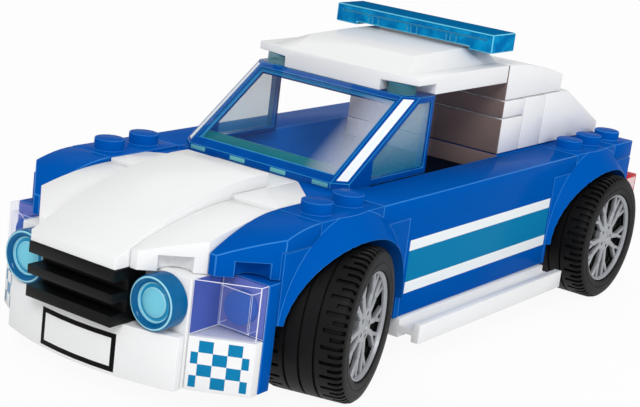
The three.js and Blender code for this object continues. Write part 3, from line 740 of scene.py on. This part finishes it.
KEY_HALF = 1.5
KEY_ALONG = (-0.03, 1)
KEY_UP = (0.12, 0.85)


def front_pane(name, half, start, end, outer, inner):
    """A slab in the plane of the windscreen, between two lengths along its slope and two depths under it."""
    slab = box(name, -half, half, start, end, -inner, -outer)
    slab.rotation_euler = (SCREEN_TILT, 0, 0)
    slab.location = SCREEN_FOOT * MM
    return settle(slab)


def side_pane(name, x0, x1, inset):
    """A slab in the side of the windscreen, its front cut along the slope."""
    slab = box(name, x0, x1, SIDE_ALONG[0], SIDE_ALONG[1] - inset, SIDE_UP[0] + inset, SIDE_UP[1] - inset)
    edit(slab)
    bpy.ops.mesh.select_all(action="SELECT")
    normal = Vector((0, -math.sin(SCREEN_TILT), math.cos(SCREEN_TILT)))
    place = (SCREEN_FOOT + Vector((0, SIDE_STEP, 0)) - normal * (SIDE_FRAME + inset)) * MM
    bpy.ops.mesh.bisect(plane_co=place, plane_no=normal, use_fill=True, clear_outer=True)
    done()
    return slab


def slanted_corner(centre, normal):
    """True on the slanted faces between the front and the sides of the windscreen."""
    return abs(normal.x) > 0.4 and normal.y < -0.4 and normal.z > 0.6


def top_stud(centre, normal):
    """True on the studs of the windscreen."""
    return centre.z > SCREEN_HEAD.z + 0.1


def windscreen():
    piece = copy_of("windscreen", "windscreen_frame")
    # The rounded edges take a painted cyan highlight
    paint(piece, glass_frame, glass_highlight_edge, glass_chamfer_reflection, glass_stud)
    carve(piece, front_pane("opening", PANE_HALF, PANE_START, PANE_END, -1, 4))
    for _, sign in SIDES:
        carve(piece, side_pane("opening", *mirrored(sign, *SIDE_OPENING), 0))
    # The slanted corners take a painted white reflection
    mark(piece, 2, slanted_corner, INLAY_MARGIN)
    mark(piece, 3, top_stud)
    return soften(piece, edge_slot=1)


def base_keys():
    """Pale blocks in the foot of the windscreen, where the studs under it show through."""
    low, _ = span("windscreen")
    keys = []
    for x in KEY_PLACES:
        along = [low.y + value for value in KEY_ALONG]
        upward = [low.z + value for value in KEY_UP]
        keys.append(soften(box("key", x - KEY_HALF, x + KEY_HALF, *along, *upward), width=0.1))
    return weld(keys, "windscreen_keys")


dress(windscreen(), None, "blue_glazing", "body", "windscreen")
dress(base_keys(), glass_key, "blue_glazing", "body")
pane = front_pane("front_pane", PANE_HALF - FIT, PANE_START + FIT, PANE_END - FIT, *PANE_DEPTHS)
# The pane's rounded edges take a painted highlight
paint(pane, glass_pane, glass_highlight_edge)
dress(soften(pane, width=0.25, edge_slot=1), None, "blue_glazing", "body")
sill = front_pane("windscreen_sill", PANE_HALF - SILL_FIT, PANE_START + SILL_FIT, SILL_END, *SILL_DEPTHS)
dress(soften(sill, width=0.2), glass_sill, "blue_glazing", "body")
for side, sign in SIDES:
    pane = side_pane("side_pane_" + side, *mirrored(sign, *SIDE_PANE), FIT)
    dress(soften(pane, width=0.1), glass_side, "blue_glazing", "body")


# Corner lamps: clear blocks, hollow at the back round the stud that holds them
POCKET_ACROSS = (17.5, 22.9)
POCKET_DEPTH = 2.4
POCKET_WALL = 1.2
FILM_MARGIN = 0.3
FILM_DEPTHS = (0.2, 0.1)
LAMP_STUD_X = 20.2
LAMP_STUD_DEPTH = 0.9


def corner_lamp(node, sign):
    low, high = span(node)
    # The rounded edges take a painted white highlight
    piece = paint(ease(copy_of(node, node + "_block")), lamp_clear, lamp_edge, lamp_side)
    mark(piece, 2, lambda centre, normal: normal.x * sign < -FACING)
    along = (high.y - POCKET_DEPTH, high.y + 1)
    upward = (low.z + POCKET_WALL, high.z - POCKET_WALL)
    carve(piece, box("pocket", *mirrored(sign, *POCKET_ACROSS), *along, *upward))
    return soften(piece, width=0.22, edge_slot=1)


def lamp_film(node):
    """The lamp's pale back."""
    low, high = span(node)
    across = (low.x + FILM_MARGIN, high.x - FILM_MARGIN)
    along = [high.y - depth for depth in FILM_DEPTHS]
    upward = (low.z + FILM_MARGIN, high.z - FILM_MARGIN)
    return soften(box(node + "_film", *across, *along, *upward), width=0.03)


def lamp_stud(node, sign):
    """The bracket's stud, seen through the lamp."""
    _, high = span(node)
    centre = (sign * LAMP_STUD_X, high.y - LAMP_STUD_DEPTH, middle(node).z)
    return soften(tube(node + "_stud", STUD_RADIUS, STUD_HEIGHT, centre, "Y"), width=0.15)


# Headlights: a round cup with a stepped, slightly domed lens in it
CUP = [(-3.2, 2.5), (-3.2, 3.75), (-3.05, 3.92), (-0.5, 3.95), (-0.15, 3.85), (0, 3.62), (0, 3.3),
       (-0.12, 3.1), (-0.5, 2.85), (-0.9, 2.75), (-0.9, 2.3), (-0.7, 2.1), (-0.55, 1.9), (-0.4, 1.2),
       (-0.35, 0), (-1.5, 0), (-1.5, 2.5)]


def headlight(node):
    low, _ = span(node)
    centre = middle(node)
    piece = ring(node + "_cup", CUP, 48)
    piece.rotation_euler = (0, 0, -math.pi / 2)
    piece.location = Vector((centre.x, low.y, centre.z)) * MM
    return settle(piece)


for side, sign in SIDES:
    lamp = "corner_lamp_" + side
    dress(corner_lamp(lamp, sign), None, "clear_plastic", "body", lamp)
    dress(lamp_film(lamp), lamp_back, "clear_plastic", "body")
    dress(lamp_stud(lamp, sign), blue_plastic, "blue_plastic", "body")
    dress(headlight("headlight_" + side), lens_painted_light, "clear_blue_plastic", "body", "headlight_" + side)


# Grille: three plates with open slots between their front edges
GRILLE_SLOTS = ((13.6, 15.35), (16.65, 18.4))
GRILLE_DEPTH = 2.9


def grille():
    low, high = span("grille")
    piece = copy_of("grille", "grille_bars")
    for z0, z1 in GRILLE_SLOTS:
        carve(piece, box("slot", low.x - 1, high.x + 1, low.y - 1, low.y + GRILLE_DEPTH, z0, z1))
    return soften(piece, width=0.12)


dress(grille(), black_plastic, "black_plastic", "body", "grille")


# Light bar: a smooth clear bar on two feet, with a ledge and fine upright ribs cut into its long sides
BAR_FOOT = 4.5
BAR_ARCH = 0.5
LEDGE_END = 1.2
LEDGE_DEPTH = 0.5
LEDGE_UP = (2.0, 2.3)
RIB_PLACES = [cluster + step for cluster in (-STUD, 0, STUD) for step in (-1.1, -0.3, 0.9)]
RIB_HALF = 0.14
RIB_DEPTH = 0.35
RIB_UP = (0.7, 1.9)


def light_bar():
    low, high = span("light_bar")
    # The rounded edges take the painted highlight
    piece = paint(copy_of("light_bar", "light_bar_lens"), bar_lens, bar_highlight_edge)
    arch = (low.x + BAR_FOOT, high.x - BAR_FOOT, low.y - 1, high.y + 1, low.z - 1, low.z + BAR_ARCH)
    carve(piece, box("arch", *arch))
    soften(piece, width=0.18, edge_slot=1)
    cuts = [(low.x + LEDGE_END, high.x - LEDGE_END, LEDGE_DEPTH, LEDGE_UP)]
    cuts += [(x - RIB_HALF, x + RIB_HALF, RIB_DEPTH, RIB_UP) for x in RIB_PLACES]
    for y in (low.y, high.y):
        for x0, x1, depth, (z0, z1) in cuts:
            groove = box("groove", x0, x1, y - depth, y + depth, low.z + z0, low.z + z1)
            # The ledge and rib faces take the painted highlight
            carve(piece, paint(groove, bar_highlight_edge))
    return piece


dress(light_bar(), None, "clear_blue_plastic", "body", "light_bar")


# Wheels, modelled about the origin with the outer face towards +X; outlines are (u, radius) points
TREAD_STEPS = 120
TREAD_HALF = [
    (5.35, 8.3), (6.2, 8.25), (6.42, 8.4), (6.5, 8.7), (6.5, 9.3), (6.42, 9.4), (6.5, 9.5), (6.5, 10.5),
    (6.3, 11.0), (5.9, 11.4), (5.3, 11.58), (4.3, 11.6), (3.1, 11.6), (2.45, 11.6), (2.35, 11.25),
    (2.15, 11.25), (2.05, 11.6), (0.2, 11.6), (0.1, 11.25)]
TREAD_RADIUS = 10.9
LONG_NOTCH = (3.1, 6.3)
SHORT_NOTCH = (4.3, 6.3)
NOTCH_DEPTH = 0.5
BARREL = [(-6.3, 7.5), (-6.3, 8.2), (5.8, 8.2), (5.8, 7.75), (4.9, 7.75), (4.7, 7.5)]
# The disc behind the spokes is black as painted shade
PAINTED_SHADE_DISC = [(2.6, 2.75), (2.6, 7.45), (4.55, 7.45), (4.7, 7.3), (4.7, 2.9), (4.55, 2.75)]
LIP = [(5.5, 7.6), (5.5, 8.15), (6.05, 8.2), (6.2, 8.08), (6.2, 7.95), (5.8, 7.62)]
HUB = [(2.3, 1.68), (2.3, 2.7), (5.5, 2.7), (5.7, 2.5), (5.7, 1.1), (5.55, 0.95), (5.55, 0.0), (5.0, 0.0),
       (5.0, 1.68)]
HUB_FACE = 5.7
SPOKES = 5
SPOKE_DEPTHS = (4.95, 5.6)
SPOKE_LAP = 0.15
SPOKE_BORDER = 0.14
SPOKE_RISE = 0.12
SPOKE_REACH = 7.75
STEM_WIDTH = 0.95
STEM_START = (0.6, 2.3)
STEM_END = (1.05, 4.7)
PRONG_WIDTH = 0.62
PRONG_ANGLES = (8, 22)
LUG_RADIUS = 0.36
LUG_DEPTH = 1.2
LUG_PLACE = 1.8


def tread_notch(centre, normal):
    """True on the faces of the tread's edge notches, long and short in turn."""
    if math.hypot(centre.y, centre.z) < TREAD_RADIUS:
        return False
    step = int((math.degrees(math.atan2(centre.z, centre.y)) % 360) / (360 / TREAD_STEPS))
    low, high = {0: LONG_NOTCH, 2: SHORT_NOTCH}.get(step % 4, (0, 0))
    return low < abs(centre.x) < high


def tyre_tread():
    piece = ring("tyre_tread", TREAD_HALF + [(-u, r) for u, r in reversed(TREAD_HALF)], TREAD_STEPS)
    edit(piece)
    choose_faces(piece, tread_notch)
    bpy.ops.mesh.extrude_region_shrink_fatten(
        MESH_OT_extrude_region={}, TRANSFORM_OT_shrink_fatten={"value": -NOTCH_DEPTH * MM})
    done()
    only(piece)
    bpy.ops.object.shade_smooth_by_angle(angle=TURNED_ANGLE)
    return piece


def spoke(width, start, end):
    """A flat bar of the rim between two (across, outward) points, its face raised along the middle."""
    run = (end[0] - start[0], end[1] - start[1])
    bar = box("spoke", *SPOKE_DEPTHS, -width / 2, width / 2, -SPOKE_LAP, math.hypot(*run) + SPOKE_LAP)
    edit(bar)
    choose_faces(bar, lambda centre, normal: normal.x > FACING)
    bpy.ops.mesh.inset(thickness=SPOKE_BORDER * MM)
    bpy.ops.transform.translate(value=(SPOKE_RISE * MM, 0, 0))
    done()
    bar.rotation_euler = (-math.atan2(*run), 0, 0)
    bar.location = Vector((0, *start)) * MM
    return settle(bar)


def forked_spoke(lean):
    """One stem and its two prongs, leaning to one side of the upright."""
    fork = (lean * STEM_END[0], STEM_END[1])
    parts = [spoke(STEM_WIDTH, (lean * STEM_START[0], STEM_START[1]), fork)]
    for angle in PRONG_ANGLES:
        turn = math.radians(lean * angle)
        parts.append(spoke(PRONG_WIDTH, fork, (SPOKE_REACH * math.sin(turn), SPOKE_REACH * math.cos(turn))))
    return parts


def rim_painted_shade():
    """The inside of the rim and a disc behind the spokes, both black as painted shade."""
    return weld([ring("barrel", BARREL, 64), ring("disc", PAINTED_SHADE_DISC, 48)], "rim_painted_shade")


def rim_wheel():
    """Lip, hub with lug holes, and five pairs of forked spokes."""
    lip = ring("lip", LIP, 64)
    hub = ring("hub", HUB, 40)
    bars = []
    for i in range(SPOKES):
        for part in forked_spoke(-1) + forked_spoke(1):
            part.rotation_euler = ((i + 0.5) * 2 * math.pi / SPOKES, 0, 0)
            bars.append(soften(settle(part), width=0.1))
    for i in range(SPOKES):
        angle = i * 2 * math.pi / SPOKES
        place = (HUB_FACE, LUG_PLACE * math.cos(angle), LUG_PLACE * math.sin(angle))
        carve(hub, tube("lug_hole", LUG_RADIUS, LUG_DEPTH, place, "X", 12))
    return weld([lip, hub, *bars], "rim_wheel")


def wheel_place(end, sign):
    """The wheel's centre and heading in the row frame."""
    if end == "rear":
        return Vector((sign * WHEEL_X, AXLE_Y + SHIFT_Y, AXLE_Z)), 0.0
    out = sign * KING_INSET
    x = sign * KING_X + out * math.cos(STEER_REST)
    y = KING_Y + out * math.sin(STEER_REST)
    return Vector((x, y, AXLE_Z)), STEER_REST


def wheel_copy(source, name, end, sign):
    """A copy of a wheel piece at one of the four wheels, its outer face outward."""
    piece = twin(source)
    centre, heading = wheel_place(end, sign)
    piece.location = centre * MM
    piece.rotation_euler = (0, 0, heading if sign > 0 else heading + math.pi)
    piece.name = name
    return settle(piece)


tread = tyre_tread()
wheel = rim_wheel()
barrel = rim_painted_shade()
for end in ("front", "rear"):
    for side, sign in SIDES:
        label = end + "_" + side
        tyre = wheel_copy(tread, "tyre_tread_" + label, end, sign)
        dress(tyre, rubber, "tyre_rubber", "wheel_" + label, "tyre_" + label)
        rim = wheel_copy(wheel, "rim_wheel_" + label, end, sign)
        dress(rim, silver, "silver_plastic", "wheel_" + label, "rim_" + label)
        # Painted shade: the rim's inside and the disc behind its spokes in black
        inside = wheel_copy(barrel, "rim_painted_shade_" + label, end, sign)
        dress(inside, black_plastic, "black_plastic", "wheel_" + label)
for source in (tread, wheel, barrel):
    bpy.data.objects.remove(source)


# Floor, light and camera, in metres
FLOOR_SIZE = 6
FLOOR_Z = -0.0002
FLOOR_GLOW = 0.93
WORLD_LIGHT = 0.6
WORLD_SEEN = 1.0
LIGHT_AIM = (0, 0, 0.02)
SENSOR_WIDTH = 36


def pale_floor():
    """Paper that lights the car as plain diffuse, and looks almost white to the camera."""
    bpy.ops.object.select_all(action="DESELECT")
    bpy.ops.mesh.primitive_plane_add(size=FLOOR_SIZE, location=(0, 0, FLOOR_Z))
    floor = bpy.context.view_layer.objects.active
    floor.name = "floor"
    material = bpy.data.materials.new("pale_floor")
    material.use_nodes = True
    nodes = material.node_tree.nodes
    links = material.node_tree.links
    nodes.clear()
    path = nodes.new("ShaderNodeLightPath")
    seen = path.outputs["Is Camera Ray"]
    for ray in ("Is Glossy Ray", "Is Transmission Ray"):
        largest = nodes.new("ShaderNodeMath")
        largest.operation = "MAXIMUM"
        links.new(seen, largest.inputs[0])
        links.new(path.outputs[ray], largest.inputs[1])
        seen = largest.outputs[0]
    share = nodes.new("ShaderNodeMath")
    share.operation = "MULTIPLY"
    links.new(seen, share.inputs[0])
    share.inputs[1].default_value = FLOOR_GLOW
    paper = nodes.new("ShaderNodeBsdfDiffuse")
    paper.inputs["Color"].default_value = (0.9, 0.9, 0.9, 1)
    glow = nodes.new("ShaderNodeEmission")
    glow.inputs["Color"].default_value = (1, 1, 1, 1)
    mix = nodes.new("ShaderNodeMixShader")
    links.new(share.outputs[0], mix.inputs[0])
    links.new(paper.outputs[0], mix.inputs[1])
    links.new(glow.outputs[0], mix.inputs[2])
    out = nodes.new("ShaderNodeOutputMaterial")
    links.new(mix.outputs[0], out.inputs["Surface"])
    floor.data.materials.append(material)


def studio_world():
    """A white room, brighter to the camera than as a light."""
    world = bpy.data.worlds.new("studio")
    bpy.context.scene.world = world
    world.use_nodes = True
    nodes = world.node_tree.nodes
    links = world.node_tree.links
    path = nodes.new("ShaderNodeLightPath")
    strength = nodes.new("ShaderNodeMapRange")
    links.new(path.outputs["Is Camera Ray"], strength.inputs["Value"])
    strength.inputs["To Min"].default_value = WORLD_LIGHT
    strength.inputs["To Max"].default_value = WORLD_SEEN
    nodes["Background"].inputs["Color"].default_value = (1, 1, 1, 1)
    links.new(strength.outputs[0], nodes["Background"].inputs["Strength"])


def softbox(name, place, size, power):
    lamp = bpy.data.lights.new(name, "AREA")
    lamp.shape = "RECTANGLE"
    lamp.size = size[0]
    lamp.size_y = size[1]
    lamp.energy = power
    holder = bpy.data.objects.new(name, lamp)
    bpy.context.scene.collection.objects.link(holder)
    holder.location = place
    holder.rotation_euler = (Vector(LIGHT_AIM) - Vector(place)).to_track_quat("-Z", "Y").to_euler()


def photo_camera():
    lens = bpy.data.cameras.new("photo_camera")
    lens.sensor_fit = "HORIZONTAL"
    lens.sensor_width = SENSOR_WIDTH
    lens.lens = LENS
    lens.clip_start = 0.01
    lens.clip_end = 20
    camera = bpy.data.objects.new("photo_camera", lens)
    bpy.context.scene.collection.objects.link(camera)
    flat = math.cos(ELEVATION)
    ahead = Vector((-math.sin(AZIMUTH) * flat, math.cos(AZIMUTH) * flat, -math.sin(ELEVATION)))
    level = Vector((math.cos(AZIMUTH), math.sin(AZIMUTH), 0))
    upright = level.cross(ahead)
    right = math.cos(ROLL) * level + math.sin(ROLL) * upright
    up = -math.sin(ROLL) * level + math.cos(ROLL) * upright
    turn = Matrix((right, up, -ahead)).transposed().to_4x4()
    camera.matrix_world = Matrix.Translation(EYE) @ turn
    bpy.context.scene.camera = camera


pale_floor()
studio_world()
softbox("key_light", (0.28, -0.5, 0.44), (0.26, 0.2), 1.85)
softbox("side_light", (0.75, 0.05, 0.34), (0.2, 0.3), 1.2)
softbox("back_light", (-0.4, 0.55, 0.6), (0.5, 0.4), 0.8)
photo_camera()
bpy.context.scene.view_settings.view_transform = "Standard"
